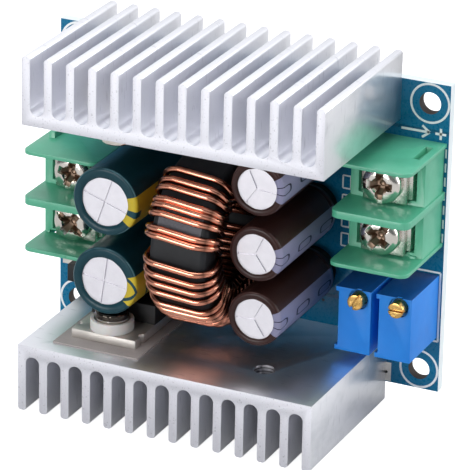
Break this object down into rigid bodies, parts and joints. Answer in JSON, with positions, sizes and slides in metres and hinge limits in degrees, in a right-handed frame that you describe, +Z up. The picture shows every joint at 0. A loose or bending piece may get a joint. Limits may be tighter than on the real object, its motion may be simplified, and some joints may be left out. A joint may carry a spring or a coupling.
{
  "type": "power supply module",
  "caption": "Step-down power supply module: a board on edge between finned heatsinks, with a toroid choke, capacitors, trimmers and green screw terminals.",
  "frame": {"origin": "middle of the bounding box's foot, on the lower heatsink's fin tips", "axes": "+X along the board from the input to the output terminal, +Y towards the solder side, +Z up"},
  "size_m": [0.06, 0.0298, 0.053],
  "materials": {
    "board_laminate": "glossy blue solder mask over glass fibre",
    "heatsink_aluminium": "satin extrusion with sawn ends",
    "terminal_plastic": "moulded, satin",
    "tinned_metal": "tinned",
    "nickel_plate": "bright nickel plate",
    "core_powder": "black epoxy coat",
    "copper_wire": "clear enamel, glossy",
    "can_aluminium": "drawn, satin",
    "teal_sleeve": "shrunk film, printed",
    "brown_sleeve": "shrunk film, printed",
    "bung_rubber": "matte",
    "trimmer_plastic": "moulded, satin",
    "trimmer_brass": "turned",
    "transistor_tab": "tinned copper, satin",
    "moulded_epoxy": "moulded, matte",
    "pad_silicone": "matte",
    "bush_nylon": "moulded",
    "chip_ceramic": "ceramic with tinned ends",
    "solder": "bright solder"
  },
  "bodies": {
    "module": {"circuit_board": "board_laminate", "upper_heatsink": "heatsink_aluminium", "lower_heatsink": "heatsink_aluminium", "input_terminal_housing": "terminal_plastic", "output_terminal_housing": "terminal_plastic", "input_terminal_contacts": "tinned_metal", "output_terminal_contacts": "tinned_metal", "input_capacitor_leads": "tinned_metal", "output_capacitor_leads": "tinned_metal", "trimmer_pins": "tinned_metal", "lower_transistor_leads": "tinned_metal", "upper_transistor_leads": "tinned_metal", "lower_transistor_screw": "nickel_plate", "upper_transistor_screw": "nickel_plate", "choke_core": "core_powder", "choke_winding": "copper_wire", "input_can_upper": "can_aluminium", "input_can_lower": "can_aluminium", "output_can_upper": "can_aluminium", "output_can_middle": "can_aluminium", "output_can_lower": "can_aluminium", "input_sleeve_upper": "teal_sleeve", "input_sleeve_lower": "teal_sleeve", "output_sleeve_upper": "brown_sleeve", "output_sleeve_middle": "brown_sleeve", "output_sleeve_lower": "brown_sleeve", "input_capacitor_bungs": "bung_rubber", "output_capacitor_bungs": "bung_rubber", "left_trimmer_case": "trimmer_plastic", "right_trimmer_case": "trimmer_plastic", "lower_transistor_tab": "transistor_tab", "upper_transistor_tab": "transistor_tab", "lower_transistor_body": "moulded_epoxy", "upper_transistor_body": "moulded_epoxy", "input_diode": "moulded_epoxy", "control_chip": "moulded_epoxy", "amplifier_chip": "moulded_epoxy", "sense_resistor": "moulded_epoxy", "insulating_pad": "pad_silicone", "insulating_bush": "bush_nylon", "chip_parts": "chip_ceramic", "solder_joints": "solder"},
    "input_upper_washer": {"input_washer_upper": "nickel_plate"},
    "input_upper_screw": {"input_screw_upper": "nickel_plate"},
    "input_lower_washer": {"input_washer_lower": "nickel_plate"},
    "input_lower_screw": {"input_screw_lower": "nickel_plate"},
    "output_upper_washer": {"output_washer_upper": "nickel_plate"},
    "output_upper_screw": {"output_screw_upper": "nickel_plate"},
    "output_lower_washer": {"output_washer_lower": "nickel_plate"},
    "output_lower_screw": {"output_screw_lower": "nickel_plate"},
    "left_adjuster": {"left_trimmer_screw": "trimmer_brass"},
    "right_adjuster": {"right_trimmer_screw": "trimmer_brass"}
  },
  "joints": [
    {"name": "input_upper_lift", "type": "slide", "parent": "module", "child": "input_upper_washer", "axis": [0, -1, 0], "range_m": [0, 0.003]},
    {"name": "input_upper_turn", "type": "hinge", "parent": "input_upper_washer", "child": "input_upper_screw", "pos_m": [-0.0234, 0, 0.02971], "axis": [0, -1, 0], "range_deg": [0, 2300]},
    {"name": "input_lower_lift", "type": "slide", "parent": "module", "child": "input_lower_washer", "axis": [0, -1, 0], "range_m": [0, 0.003]},
    {"name": "input_lower_turn", "type": "hinge", "parent": "input_lower_washer", "child": "input_lower_screw", "pos_m": [-0.0234, 0, 0.02209], "axis": [0, -1, 0], "range_deg": [0, 2300]},
    {"name": "output_upper_lift", "type": "slide", "parent": "module", "child": "output_upper_washer", "axis": [0, -1, 0], "range_m": [0, 0.003]},
    {"name": "output_upper_turn", "type": "hinge", "parent": "output_upper_washer", "child": "output_upper_screw", "pos_m": [0.02395, 0, 0.03671], "axis": [0, -1, 0], "range_deg": [0, 2300]},
    {"name": "output_lower_lift", "type": "slide", "parent": "module", "child": "output_lower_washer", "axis": [0, -1, 0], "range_m": [0, 0.003]},
    {"name": "output_lower_turn", "type": "hinge", "parent": "output_lower_washer", "child": "output_lower_screw", "pos_m": [0.02395, 0, 0.02909], "axis": [0, -1, 0], "range_deg": [0, 2300]},
    {"name": "left_adjuster_turn", "type": "hinge", "parent": "module", "child": "left_adjuster", "pos_m": [0.0215, 0, 0.0194], "axis": [0, -1, 0], "continuous": true},
    {"name": "right_adjuster_turn", "type": "hinge", "parent": "module", "child": "right_adjuster", "pos_m": [0.02755, 0, 0.0194], "axis": [0, -1, 0], "continuous": true}
  ],
  "couplings": [
    {"joint": "input_upper_turn", "follows": "input_upper_lift", "rad_per_m": 12566},
    {"joint": "input_lower_turn", "follows": "input_lower_lift", "rad_per_m": 12566},
    {"joint": "output_upper_turn", "follows": "output_upper_lift", "rad_per_m": 12566},
    {"joint": "output_lower_turn", "follows": "output_lower_lift", "rad_per_m": 12566}
  ]
}
